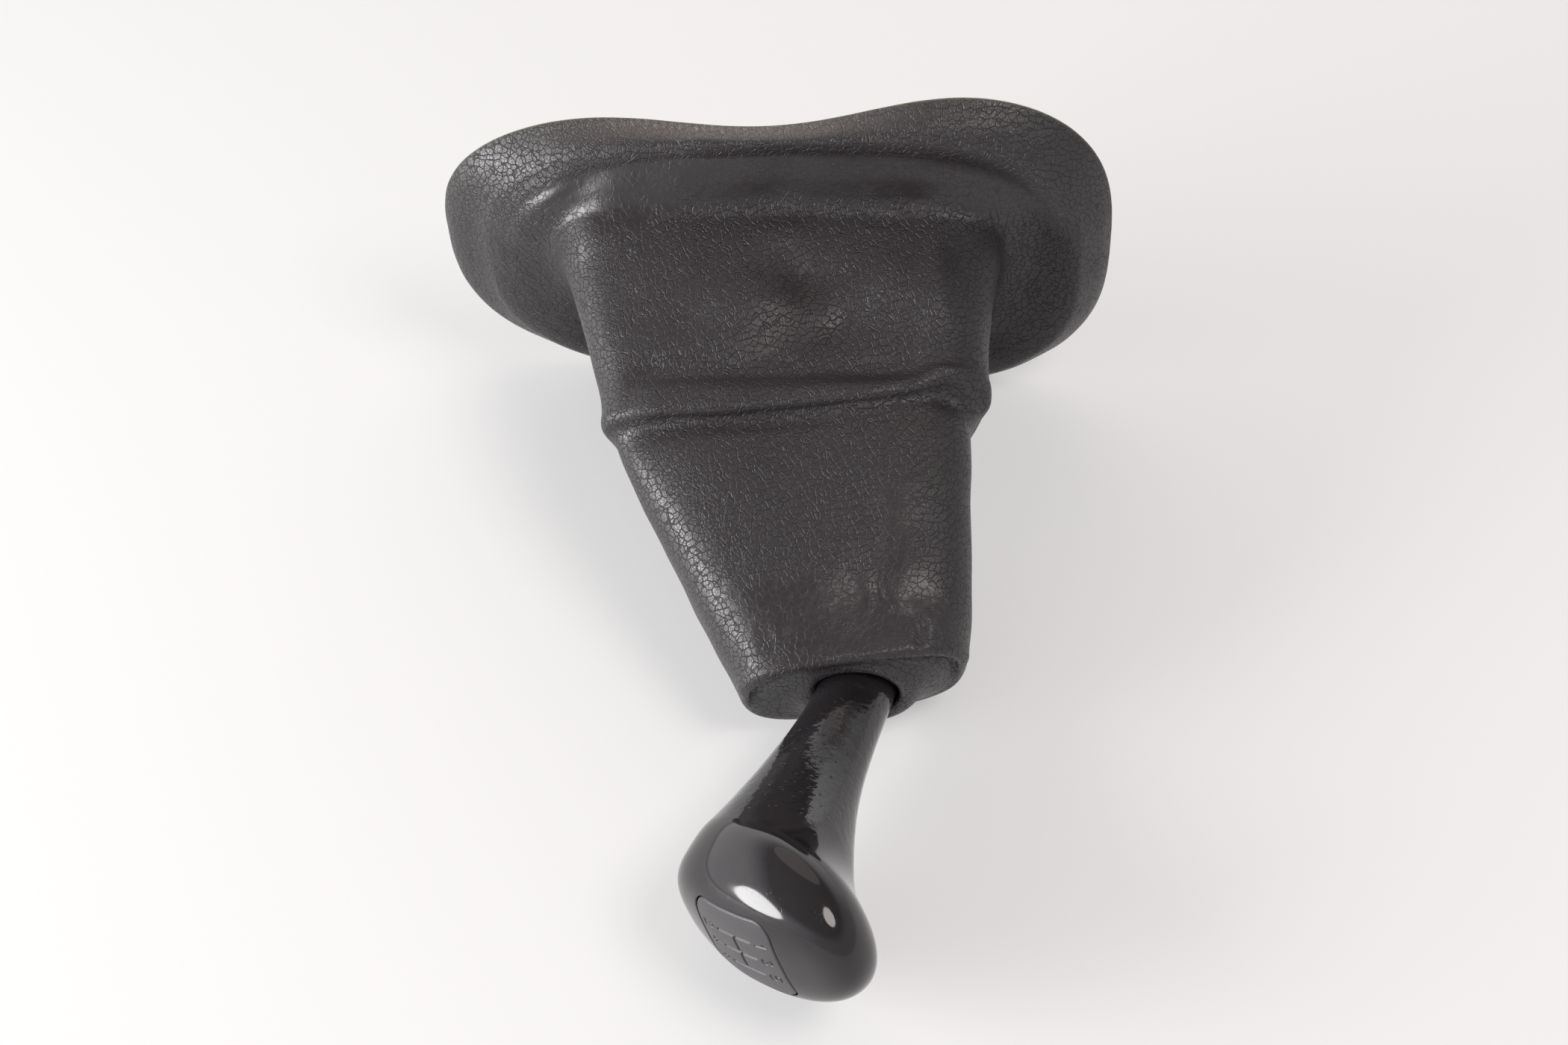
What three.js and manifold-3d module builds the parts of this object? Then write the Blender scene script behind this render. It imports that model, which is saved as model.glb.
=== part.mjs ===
// A gear lever gaiter: a one-piece moulded skin with a wide brim, a roll, a block, a fold and a
// tapering cone, and the gear knob that its collar grips. It lies on its right side, as it comes to
// rest off the car. Millimetres, +Z up from the surface it lies on.
//
// Each piece is modelled in the gaiter's own frame and the whole is laid down at the end:
//   +X the car's front, +Y the car's left (uppermost as it lies), +Z up the lever to the knob.
//   The brim's ends lie at height 0, and the collar's mouth is on the Z axis.
import * as THREE from "three";
import { mergeVertices } from "three/addons/utils/BufferGeometryUtils.js";
import Module from "manifold-3d";

const { degToRad, clamp } = THREE.MathUtils;
const wasm = await Module();
wasm.setup();

// The skin: its wall, the points around each of its outlines, and how it lies.
const skin = 2;
const around = 48;
const cornerCrowding = 0.72;
const laidSlope = 11;

// Each outline reaches "rear" and "front" of the collar, and "half" to each side.
const brim = { rear: 128, front: 80, half: 62, edge: 4, skew: -4, dip: -6, twist: 2 };
const brimSag = { waist: 0.13, reach: 48, lift: 6, egg: 0.07, lowerEgg: 0.01, lower: 4 };
const roll = { rear: 113, front: 69, half: 54.5, height: 13, fullness: 4, wall: 1.1 };
const cove = { rear: 104, front: 60, half: 47, height: 8.5 };
const block = { rear: 88, front: 48, half: 30.5, foot: 14.5, cove: 4, rise: 9 };
const waist = { rear: 85, front: 45, half: 28, height: 50 };
const fold = { rear: 85, front: 46, half: 30, height: 75, lip: 9, step: 7, drop: 2, dip: 4, skew: 4 };
const cone = { rear: 71, front: 37, half: 27, height: 90, drop: 3 };
const end = { rear: 33, front: 31, half: 21, height: 157, hollow: 0.5, drop: 10, dip: 8, skew: 8 };

// The collar grips the knob's neck, which leans to the rear and up from the gaiter's own axis.
const lean = 19.5;
const raise = 16;
const neckRadius = 11;
const collarFit = 0.6;
const collar = { radius: neckRadius + collarFit, depth: 20, lead: 5, wall: 1.2 };

// One level of the gaiter. "square" and "under" say how square its upper and lower halves are,
// "key" narrows its lower half, "dip" turns its plane down, "skew" to the front and "twist" round.
function level(height, reach, shape) {
  return {
    height,
    rear: reach.rear,
    front: reach.front,
    half: reach.half,
    side: 0,
    drop: 0,
    dip: 0,
    skew: 0,
    twist: 0,
    square: 3,
    under: 2.4,
    key: 0,
    rim: 0,
    wall: skin,
    steps: 3,
    ...shape,
  };
}

const grown = (size, by) => ({ rear: size.rear + by, front: size.front + by, half: size.half + by });
const circle = (radius) => ({ rear: radius, front: radius, half: radius });

function gaiterLevels() {
  const brimShape = { skew: brim.skew, dip: brim.dip, twist: brim.twist, square: 2.8, under: 2.8 };
  const rollShape = { ...brimShape, wall: roll.wall };
  const foldShape = { square: 4, drop: fold.drop, dip: fold.dip, skew: fold.skew };
  const endShape = { drop: end.drop, dip: end.dip, skew: end.skew };
  const round = { square: 2, under: 2, drop: end.drop, wall: collar.wall };
  const lip = { ...round, dip: 0, skew: 0 };
  const mouth = { ...round, dip: -raise * 0.4, skew: -lean * 0.4 };
  const throat = {
    ...round,
    dip: -raise,
    skew: -lean,
    drop: end.drop + collar.depth * Math.tan(degToRad(raise)),
    side: collar.depth * Math.tan(degToRad(lean)),
  };
  return [
    level(0, brim, { ...brimShape, rim: 1, steps: 1 }),
    level(brim.edge, grown(brim, -brim.edge / 2), { ...brimShape, rim: 0.9, steps: 2 }),
    level(roll.height - 4, grown(roll, roll.fullness), { ...rollShape, rim: 0.5, steps: 2 }),
    level(roll.height, roll, { ...rollShape, rim: 0.1 }),
    level(cove.height, cove, { ...brimShape, dip: brim.dip / 2, skew: brim.skew / 2, steps: 2 }),
    level(block.foot - block.cove, grown(block, 8), { square: 3.4, skew: -1, key: 0.06, steps: 2 }),
    level(block.foot, grown(block, 2), { square: 4, key: 0.1 }),
    level(block.foot + block.rise, block, { square: 4, key: 0.14, steps: 2 }),
    level(waist.height, waist, { square: 4, drop: 1, dip: 2, skew: 2, key: 0.2, steps: 2 }),
    level(fold.height - fold.lip, grown(fold, -2), { ...foldShape, key: 0.24, steps: 2 }),
    level(fold.height, fold, { ...foldShape, key: 0.28 }),
    level(fold.height + 3, grown(fold, -fold.step), { ...foldShape, key: 0.22 }),
    level(cone.height, cone, { ...foldShape, drop: cone.drop, dip: 5, key: 0.2, steps: 2 }),
    level(end.height - 8, grown(end, 3), { ...endShape, steps: 4 }),
    level(end.height, end, { ...endShape, steps: 2 }),
    level(end.height - end.hollow, grown(end, -4), { ...endShape, dip: end.dip / 2, square: 2.6, steps: 2 }),
    level(end.height, circle(collar.radius + collar.lead), { ...lip, steps: 2 }),
    level(end.height, circle(collar.radius), { ...mouth, steps: 2 }),
    level(end.height - collar.depth, circle(collar.radius), { ...throat, steps: 2 }),
  ];
}

const mix = (a, b, t) => {
  const made = {};
  for (const key of Object.keys(a)) made[key] = a[key] + (b[key] - a[key]) * t;
  return made;
};

// Rounds each corner of a profile by a quadratic curve between the middles of its two sides.
function rounded(polygon) {
  const made = [polygon[0]];
  for (let k = 1; k < polygon.length - 1; k++) {
    const from = mix(polygon[k - 1], polygon[k], 0.5);
    const to = mix(polygon[k], polygon[k + 1], 0.5);
    for (let i = 0; i < polygon[k].steps; i++) {
      const t = (i + 0.5) / polygon[k].steps;
      made.push(mix(mix(from, polygon[k], t), mix(polygon[k], to, t), t));
    }
  }
  made.push(polygon.at(-1));
  return made;
}

// Soft dents and swellings of the uppermost panels: where, how far across, and how deep.
const blockHollow = { x: -8, z: 52, across: 13, deep: 2.2 };
const frontHollow = { x: 8, z: 62, across: 12, deep: 1.8 };
const frontSwelling = { x: 24, z: 44, across: 12, deep: -1.6 };
const rearSwelling = { x: -30, z: 46, across: 14, deep: -1.4 };
const coneHollow = { x: -20, z: 112, across: 15, deep: 1.4 };
const coneSwelling = { x: 14, z: 120, across: 9, deep: -1.3 };
const endHollow = { x: 4, z: 142, across: 11, deep: 1.5 };
const dents = [
  blockHollow,
  frontHollow,
  frontSwelling,
  rearSwelling,
  coneHollow,
  coneSwelling,
  endHollow,
];

function dented(p) {
  if (p.y < 4) return p;
  for (const dent of dents) {
    const near = ((p.x - dent.x) ** 2 + (p.z - dent.z) ** 2) / dent.across ** 2;
    p.y -= dent.deep * Math.exp(-near) * clamp((p.y - 4) / 8, 0, 1);
  }
  return p;
}

// A point of one outline, a rounded rectangle in polar form, at one step around.
function outlinePoint(section, step) {
  const turn = (2 * Math.PI * step) / around;
  const long = clamp((section.rear - 15) / 20, 0, 1);
  const crowding = 1 - (1 - cornerCrowding) * long;
  const angle = Math.atan2(crowding * Math.sin(turn), Math.cos(turn));
  const c = Math.cos(angle);
  const s = Math.sin(angle);
  const n = s >= 0 ? section.square : section.under;
  const across = Math.abs(c / (c >= 0 ? section.front : section.rear)) ** n;
  const half = s >= 0 ? section.half : section.half + section.rim * brimSag.lower;
  const reach = (across + Math.abs(s / half) ** n) ** (-1 / n);
  const y = s * reach;
  const x = c * reach * (1 + (section.key * (y - section.half)) / (2 * section.half));
  const along = x + (brim.rear - brim.front) / 2;
  const nearMiddle = Math.exp(-((along / brimSag.reach) ** 2));
  const egg = s >= 0 ? brimSag.egg : brimSag.lowerEgg;
  const swell = (egg * along) / 75 - brimSag.waist * nearMiddle;
  const p = new THREE.Vector3(x, y * (1 + section.rim * swell), 0);
  p.applyEuler(
    new THREE.Euler(degToRad(section.dip), degToRad(section.skew), degToRad(section.twist)),
  );
  p.x += section.side;
  p.y -= section.drop;
  const edge = Math.min(1, Math.abs(y) / brim.half) ** 2;
  p.z += section.height + brimSag.lift * section.rim * edge * nearMiddle;
  return dented(p);
}

const ringsOf = (sections, point, count) =>
  sections.map((section) => Array.from({ length: count }, (_, j) => point(section, j)));

// A closed skin between the outside rings and the same rings moved in by each one's wall.
function shell(rings, walls) {
  const per = rings[0].length;
  const outer = rings.flat();
  const faces = [];
  const quad = (a, b, c, d) => faces.push(a, b, c, a, c, d);
  const each = (act) => {
    for (let j = 0; j < per; j++) act(j, (j + 1) % per);
  };
  for (let i = 0; i < rings.length - 1; i++)
    each((j, k) => quad(i * per + j, i * per + k, (i + 1) * per + k, (i + 1) * per + j));
  const outside = new THREE.BufferGeometry().setFromPoints(outer).setIndex([...faces]);
  outside.computeVertexNormals();
  const normals = outside.getAttribute("normal");
  const inner = outer.map((p, i) =>
    p
      .clone()
      .addScaledVector(
        new THREE.Vector3().fromBufferAttribute(normals, i),
        -walls[Math.floor(i / per)],
      ),
  );
  const shift = outer.length;
  const last = (rings.length - 1) * per;
  for (let i = 0; i < rings.length - 1; i++)
    each((j, k) => {
      const a = shift + i * per;
      const b = a + per;
      quad(a + k, a + j, b + j, b + k);
    });
  each((j, k) => quad(k, j, shift + j, shift + k));
  each((j, k) => quad(last + j, last + k, shift + last + k, shift + last + j));
  return new THREE.BufferGeometry().setFromPoints([...outer, ...inner]).setIndex(faces);
}

// A solid lofted through rings and closed by a fan at each end.
function solid(rings) {
  const per = rings[0].length;
  const points = rings.flat();
  const faces = [];
  const middle = (ring) => ring.reduce((sum, p) => sum.add(p), new THREE.Vector3()).divideScalar(per);
  const first = points.push(middle(rings[0])) - 1;
  const final = points.push(middle(rings.at(-1))) - 1;
  const last = (rings.length - 1) * per;
  for (let j = 0; j < per; j++) {
    const k = (j + 1) % per;
    for (let i = 0; i < rings.length - 1; i++) {
      const a = i * per;
      const b = a + per;
      faces.push(a + j, a + k, b + k, a + j, b + k, b + j);
    }
    faces.push(first, k, j, final, last + j, last + k);
  }
  return new THREE.BufferGeometry().setFromPoints(points).setIndex(faces);
}

// Between three.js geometry and manifold-3d solids.
function toManifold(geometry, matrix = new THREE.Matrix4()) {
  const bare = geometry.clone().applyMatrix4(matrix);
  bare.deleteAttribute("normal");
  bare.deleteAttribute("uv");
  const merged = mergeVertices(bare, 1e-4);
  const mesh = new wasm.Mesh({
    numProp: 3,
    vertProperties: merged.getAttribute("position").array,
    triVerts: new Uint32Array(merged.getIndex().array),
  });
  return new wasm.Manifold(mesh);
}

function toGeometry(made) {
  const mesh = made.getMesh();
  const points = new THREE.BufferAttribute(mesh.vertProperties.slice(), 3);
  const faces = new THREE.BufferAttribute(mesh.triVerts.slice(), 1);
  return new THREE.BufferGeometry().setAttribute("position", points).setIndex(faces);
}

// The knob, in its own frame: +Z out of the collar, its origin at the collar's mouth. Its head
// turns over to the rear, and the cap of the shift pattern is let into the head's end.
const knob = { around: 36, buried: 30, clear: 6, straight: 16, taper: 0.8, roll: 21, turned: 23 };
const flare = { along: 38, wide: 13, deep: 14.7, shift: -1.4, turn: 5 };
const shoulder = { along: 55, wide: 16.8, deep: 18.6, shift: -0.6, turn: 10.5 };
const swell = { along: 70, wide: 21.6, deep: 22.8, shift: 1.6, turn: 15.5 };
const girth = { along: 82.5, wide: 26.4, deep: 32.6, shift: 8, turn: 21 };
const crown = { along: 95.5, wide: 20.4, deep: 32.9, shift: 4.2, turn: knob.turned };
const dome = { along: 100, wide: 13.5, deep: 13.7, shift: 1.2, turn: knob.turned };
const peak = { rise: 0.6, reach: 4, shift: 0.7 };

const stem = (along, radius) => ({ along, wide: radius, deep: radius, shift: 0, turn: 0, square: 2 });

const knobLevels = [
  { ...stem(-knob.buried, neckRadius - knob.taper), steps: 1 },
  { ...stem(-knob.clear, neckRadius - knob.taper / 4), steps: 2 },
  { ...stem(knob.straight, neckRadius + knob.taper / 4), steps: 3 },
  { ...flare, square: 2, steps: 3 },
  { ...shoulder, square: 2.1, steps: 3 },
  { ...swell, square: 2.2, steps: 3 },
  { ...girth, square: 2.2, steps: 4 },
  { ...crown, square: 2.3, steps: 3 },
  { ...dome, square: 2.6, steps: 2 },
  {
    ...stem(dome.along + peak.rise, peak.reach),
    shift: peak.shift,
    turn: knob.turned,
    steps: 1,
  },
];

function knobPoint(section, step) {
  const turn = (2 * Math.PI * step) / knob.around;
  const c = Math.cos(turn);
  const s = Math.sin(turn);
  const n = section.square;
  const reach = (Math.abs(c / section.deep) ** n + Math.abs(s / section.wide) ** n) ** (-1 / n);
  const p = new THREE.Vector3(c * reach, s * reach, 0);
  p.applyAxisAngle(new THREE.Vector3(0, 1, 0), -degToRad(section.turn));
  p.x += section.shift;
  p.z += section.along;
  return p;
}

// The cap: a rounded square that keeps the head's own dome, with the shift pattern engraved.
const cap = { half: 14.5, corner: 5.5, depth: 5.5, gap: 0.35, above: 0.4 };
const pattern = { gates: 3, pitch: 6.1, reach: 5.9, groove: 0.9, depth: 0.6 };
const headFrame = new THREE.Matrix4()
  .makeRotationY(-degToRad(knob.turned))
  .setPosition(peak.shift, 0, dome.along + cap.above);

function roundedSquare(half, corner, from, to) {
  const shape = new THREE.Shape();
  const inset = half - corner;
  shape.absarc(inset, inset, corner, 0, Math.PI / 2);
  shape.absarc(-inset, inset, corner, Math.PI / 2, Math.PI);
  shape.absarc(-inset, -inset, corner, Math.PI, 1.5 * Math.PI);
  shape.absarc(inset, -inset, corner, 1.5 * Math.PI, 2 * Math.PI);
  const options = { depth: to - from, bevelEnabled: false, curveSegments: 5 };
  return toManifold(new THREE.ExtrudeGeometry(shape, options).translate(0, 0, from), headFrame);
}

function stroke(x, y, long, wide) {
  const bar = new THREE.BoxGeometry(long, wide, 20).translate(x, y, 0);
  return toManifold(bar, headFrame);
}

// The grooves of the gates and the bar that crosses them, down to a copy of the dome set deeper.
function grooves(head) {
  const span = (pattern.gates - 1) * pattern.pitch;
  const strokes = [stroke(0, 0, pattern.groove, span + pattern.groove)];
  for (let i = 0; i < pattern.gates; i++)
    strokes.push(stroke(0, i * pattern.pitch - span / 2, 2 * pattern.reach, pattern.groove));
  const down = new THREE.Vector3().setFromMatrixColumn(headFrame, 2).multiplyScalar(-pattern.depth);
  return wasm.Manifold.union(strokes).subtract(head.translate(down.toArray()));
}

// The sleeve that takes the lever, let into the foot of the neck.
const sleeve = { bore: 6.2, wall: 1.5, fit: 0.3, length: 36, floor: 1 };

function cylinder(radius, from, to) {
  const tube = new THREE.CylinderGeometry(radius, radius, to - from, 32);
  return toManifold(tube.rotateX(Math.PI / 2).translate(0, 0, (from + to) / 2));
}

function sleeveGeometry() {
  const foot = -knob.buried;
  const outside = cylinder(sleeve.bore + sleeve.wall, foot, foot + sleeve.length);
  return toGeometry(outside.subtract(cylinder(sleeve.bore, foot - 1, foot + sleeve.length - sleeve.floor)));
}

function sleeveSocket() {
  const foot = -knob.buried;
  return cylinder(sleeve.bore + sleeve.wall + sleeve.fit, foot - 1, foot + sleeve.length + sleeve.fit);
}

// The clip around the collar, inside the gaiter: a split ring with a lug on each side of its gap.
const clip = { wall: 1.6, width: 6, from: -19.5, fit: 0.4, split: 2.4, lug: 5 };

function clipGeometry() {
  const inside = collar.radius + collar.wall + clip.fit;
  const outside = inside + clip.wall;
  const to = clip.from + clip.width;
  const lugs = toManifold(
    new THREE.BoxGeometry(clip.lug, clip.split + 2 * clip.wall, clip.width)
      .translate(outside + clip.lug / 2 - clip.wall / 2, 0, (clip.from + to) / 2),
  );
  const gap = toManifold(
    new THREE.BoxGeometry(3 * clip.lug, clip.split, 3 * clip.width).translate(outside, 0, clip.from),
  );
  const ring = cylinder(outside, clip.from, to).add(lugs);
  return toGeometry(ring.subtract(cylinder(inside, clip.from - 1, to + 1)).subtract(gap));
}

const materials = {
  vinyl: new THREE.MeshStandardMaterial({ color: 0x343235, roughness: 0.55, metalness: 0 }),
  gloss: new THREE.MeshStandardMaterial({ color: 0x151517, roughness: 0.2, metalness: 0 }),
  matte: new THREE.MeshStandardMaterial({ color: 0x232324, roughness: 0.6, metalness: 0 }),
  nylon: new THREE.MeshStandardMaterial({ color: 0x1d1d1f, roughness: 0.5, metalness: 0 }),
  rubber: new THREE.MeshStandardMaterial({ color: 0x29292b, roughness: 0.85, metalness: 0 }),
};

function node(name, geometry, material) {
  const made = new THREE.Mesh(geometry, material);
  made.name = name;
  return made;
}

function knobPieces() {
  const head = toManifold(solid(ringsOf(rounded(knobLevels), knobPoint, knob.around)));
  const pocket = roundedSquare(cap.half, cap.corner, -cap.depth, 20);
  const plug = roundedSquare(cap.half - cap.gap, cap.corner - cap.gap, cap.gap - cap.depth, 20);
  const body = head.subtract(pocket).subtract(sleeveSocket());
  const face = head.intersect(plug).subtract(grooves(head));
  const frame = new THREE.Group();
  frame.position.set(0, -end.drop, end.height);
  frame.rotation.set(-degToRad(raise), -degToRad(lean), degToRad(knob.roll), "XYZ");
  frame.add(
    node("knob", toGeometry(body), materials.gloss),
    node("shift_pattern_cap", toGeometry(face), materials.matte),
    node("lever_sleeve", sleeveGeometry(), materials.rubber),
    node("collar_clip", clipGeometry(), materials.nylon),
  );
  return frame;
}

const group = new THREE.Group();
const laid = new THREE.Group();
laid.rotation.x = Math.PI / 2 + degToRad(laidSlope);
const sections = rounded(gaiterLevels());
const skinGeometry = shell(
  ringsOf(sections, outlinePoint, around),
  sections.map((section) => section.wall),
);
laid.add(node("gaiter", skinGeometry, materials.vinyl), knobPieces());
group.add(laid);
group.updateMatrixWorld(true);
const bounds = new THREE.Box3().setFromObject(group, true);
const middle = bounds.getCenter(new THREE.Vector3());
laid.position.set(-middle.x, -middle.y, -bounds.min.z);

export default group;
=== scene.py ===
"""The looks of a gear lever gaiter and its knob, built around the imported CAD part. Blender 4.5, metres."""

import math

import bmesh
import bpy
import numpy as np
from mathutils import Matrix, Vector
from mathutils.bvhtree import BVHTree


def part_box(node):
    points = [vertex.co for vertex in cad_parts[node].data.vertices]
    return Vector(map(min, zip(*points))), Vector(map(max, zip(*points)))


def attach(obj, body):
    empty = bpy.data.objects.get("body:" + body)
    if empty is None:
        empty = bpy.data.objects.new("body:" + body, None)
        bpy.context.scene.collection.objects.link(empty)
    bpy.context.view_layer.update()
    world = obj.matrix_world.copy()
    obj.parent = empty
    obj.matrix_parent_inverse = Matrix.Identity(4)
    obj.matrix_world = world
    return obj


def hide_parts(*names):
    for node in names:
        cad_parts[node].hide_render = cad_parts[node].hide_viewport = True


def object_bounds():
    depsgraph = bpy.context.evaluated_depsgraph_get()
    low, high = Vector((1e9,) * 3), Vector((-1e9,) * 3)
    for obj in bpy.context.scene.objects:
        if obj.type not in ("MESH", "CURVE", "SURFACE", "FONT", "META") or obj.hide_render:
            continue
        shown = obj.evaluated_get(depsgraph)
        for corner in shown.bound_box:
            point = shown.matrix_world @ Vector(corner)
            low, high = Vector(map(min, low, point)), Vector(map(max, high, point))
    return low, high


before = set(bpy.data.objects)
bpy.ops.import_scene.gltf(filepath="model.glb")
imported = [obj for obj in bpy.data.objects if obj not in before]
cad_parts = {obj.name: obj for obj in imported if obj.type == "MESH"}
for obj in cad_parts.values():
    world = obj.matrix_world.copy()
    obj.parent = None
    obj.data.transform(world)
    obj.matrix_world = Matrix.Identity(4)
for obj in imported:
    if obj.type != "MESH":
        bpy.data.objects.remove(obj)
cad_low, cad_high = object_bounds()

MM = 0.001

# How the part lies, as its CAD source has it: the turn that lays the gaiter down, and the knob's
# place in the gaiter's own frame, which has +X to the car's front and +Z up the lever.
LAID = math.radians(101)
RAISE = math.radians(16)
LEAN = math.radians(19.5)
ROLL = math.radians(21)
COLLAR_AT = Vector((0, -10, 157)) * MM
SLEEVE_MIDDLE = -12 * MM

laid_turn = Matrix.Rotation(LAID, 4, "X")
knob_turn = (
    laid_turn
    @ Matrix.Rotation(-RAISE, 4, "X")
    @ Matrix.Rotation(-LEAN, 4, "Y")
    @ Matrix.Rotation(ROLL, 4, "Z")
)
sleeve_low, sleeve_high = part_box("lever_sleeve")
knob_origin = (sleeve_low + sleeve_high) / 2 - knob_turn @ Vector((0, 0, SLEEVE_MIDDLE))
knob_frame = Matrix.Translation(knob_origin) @ knob_turn
gaiter_frame = Matrix.Translation(knob_origin - laid_turn @ COLLAR_AT) @ laid_turn


def array(matrix):
    return np.array(matrix, float)


def to_local(points, matrix):
    """Points of the row frame, in a piece's own frame and in millimetres."""
    inverse = array(matrix.inverted())
    return (points @ inverse[:3, :3].T + inverse[:3, 3]) / MM


def to_world(points, matrix):
    """Points of a piece's own frame, in millimetres, in the row frame and in metres."""
    made = array(matrix)
    return (points * MM) @ made[:3, :3].T + made[:3, 3]


def smoothstep(low, high, x):
    """0 up to "low" and 1 from "high" on. It falls where "high" is the lower of the two."""
    t = np.clip((x - low) / (high - low), 0, 1)
    return t * t * (3 - 2 * t)


def between(rise, fall, x):
    """1 between two spans, rising from 0 over the first and falling to 0 over the second."""
    return smoothstep(*rise, x) * (1 - smoothstep(*fall, x))


def bell(x, middle, width):
    return np.exp(-(((x - middle) / width) ** 2))


def ridge(x, form):
    """A ridge (+) or groove (-) across x, from its height, its middle and its width."""
    height, middle, width = form
    return height * bell(x, middle, width)


# Camera: where the photograph was taken from.
CAMERA_ELEVATION = math.radians(47.5)
CAMERA_DISTANCE = 775 * MM
CAMERA_ROLL = math.radians(-0.44)
CAMERA_TARGET = Vector((3, 22, 40)) * MM
CAMERA_LENS = 60


def make_camera():
    back = Vector((0, -math.cos(CAMERA_ELEVATION), math.sin(CAMERA_ELEVATION)))
    right = Vector((1, 0, 0))
    up = back.cross(right)
    turned_right = right * math.cos(CAMERA_ROLL) + up * math.sin(CAMERA_ROLL)
    turned_up = up * math.cos(CAMERA_ROLL) - right * math.sin(CAMERA_ROLL)
    data = bpy.data.cameras.new("camera")
    data.lens = CAMERA_LENS
    camera = bpy.data.objects.new("camera", data)
    turn = Matrix((turned_right, turned_up, back)).transposed().to_4x4()
    camera.matrix_world = Matrix.Translation(CAMERA_TARGET + back * CAMERA_DISTANCE) @ turn
    bpy.context.scene.collection.objects.link(camera)
    bpy.context.scene.camera = camera


# Materials.
def material(name):
    made = bpy.data.materials.new(name)
    made.use_nodes = True
    return made, made.node_tree, made.node_tree.nodes["Principled BSDF"]


def add(tree, kind, inputs=None, **settings):
    """A node of a material, with its settings, and with its inputs linked or set."""
    made = tree.nodes.new(kind)
    for name, value in settings.items():
        setattr(made, name, value)
    for name, value in (inputs or {}).items():
        if isinstance(value, bpy.types.NodeSocket):
            tree.links.new(value, made.inputs[name])
        else:
            made.inputs[name].default_value = value
    return made


def place(tree):
    return add(tree, "ShaderNodeTexCoord").outputs["Object"]


def painted(tree, name):
    """What the mesh's own attribute of that name says at each point."""
    return add(tree, "ShaderNodeAttribute", attribute_name=name).outputs["Fac"]


def maths(tree, operation, first, second=0.0, clamp=False):
    return add(
        tree,
        "ShaderNodeMath",
        {0: first, 1: second},
        operation=operation,
        use_clamp=clamp,
    ).outputs[0]


def plus(tree, first, second):
    return maths(tree, "ADD", first, second)


def times(tree, first, second):
    return maths(tree, "MULTIPLY", first, second)


def spread(tree, value, low, high, to_low=0.0, to_high=1.0):
    made = add(
        tree,
        "ShaderNodeMapRange",
        {"Value": value, "From Min": low, "From Max": high, "To Min": to_low, "To Max": to_high},
    )
    return made.outputs["Result"]


def noise_value(tree, where, scale, detail=3.0, rough=0.5):
    inputs = {"Vector": where, "Scale": scale, "Detail": detail, "Roughness": rough}
    return add(tree, "ShaderNodeTexNoise", inputs).outputs["Fac"]


def blended(tree, share, first, second):
    """A mix of two colours, of which each is three numbers or a node's output."""
    inputs = {"Factor": share}
    for name, colour in (("A", first), ("B", second)):
        inputs[name] = colour if isinstance(colour, bpy.types.NodeSocket) else (*colour, 1)
    return add(tree, "ShaderNodeMix", inputs, data_type="RGBA").outputs["Result"]


def bumped(tree, shader, height, distance):
    made = add(tree, "ShaderNodeBump", {"Height": height, "Distance": distance, "Strength": 1.0})
    tree.links.new(made.outputs["Normal"], shader.inputs["Normal"])


def warped(tree, where, scale, by):
    inputs = {"Vector": where, "Scale": scale, "Detail": 2.0}
    noise = add(tree, "ShaderNodeTexNoise", inputs).outputs["Color"]
    centred = add(tree, "ShaderNodeVectorMath", {0: noise, 1: (0.5, 0.5, 0.5)}, operation="SUBTRACT")
    scaled = add(tree, "ShaderNodeVectorMath", {0: centred.outputs[0], "Scale": by}, operation="SCALE")
    moved = add(tree, "ShaderNodeVectorMath", {0: where, 1: scaled.outputs[0]}, operation="ADD")
    return moved.outputs[0]


def cells(tree, where, size, valley):
    """0 in the valleys between cells and 1 on the cells."""
    inputs = {"Vector": where, "Scale": 1 / size}
    edge = add(tree, "ShaderNodeTexVoronoi", inputs, feature="DISTANCE_TO_EDGE").outputs["Distance"]
    made = add(
        tree,
        "ShaderNodeMapRange",
        {"Value": edge, "From Min": 0.0, "From Max": valley},
        interpolation_type="SMOOTHSTEP",
    )
    return made.outputs["Result"]


# Leather grain: cells parted by fine valleys, in two sizes, on ground that isn't quite even. A
# valley's width is a share of its cell, and each height a share of the grain's depth.
GRAIN_CELL = 2.1 * MM
GRAIN_SMALL_CELL = 1.0 * MM
GRAIN_DEPTH = 0.36 * MM
GRAIN_VALLEY = 0.085
GRAIN_SMALL_VALLEY = 0.12
GRAIN_HEIGHT = 0.55
GRAIN_SMALL_HEIGHT = 0.12
GRAIN_WARP = 1.5 * MM
GRAIN_WARP_SCALE = 330
GRAIN_UNEVEN_SCALE = 400
GRAIN_KEPT = (0.4, 1.4)
PEBBLE_HEIGHT = 0.04
PEBBLE_SCALE = 1700

# The fine ribs of the brim's rim.
RIM_PITCH = 2.5 * MM
RIM_RIB_HEIGHT = 0.3

# The vinyl's colours: darker in the grain's valleys, which is painted shade for the shade that falls into
# them, lighter on the cells, a painted sheen along the brim's top strip, and the colour at the cut edge.
VINYL_DARK_AND_VALLEY_SHADE = (0.007, 0.0054, 0.0066)
VINYL_LIGHT = (0.025, 0.0204, 0.0236)
VINYL_SHEEN = (0.19, 0.165, 0.155)
VINYL_CUT = (0.10, 0.11, 0.06)
# How much the valleys' painted shade and the random patches each weigh in the colour.
VINYL_VALLEY_SHADE_SHARE = 0.6
VINYL_PATCH_SHARE = 0.5
VINYL_PATCH_SCALE = 26
VINYL_ROUGH = (0.62, 0.35)
VINYL_ROUGH_OVER = (0.4, 1.6)
VINYL_WORN_ROUGH = (-0.04, 0.02)
VINYL_SPECULAR = 0.62


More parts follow.
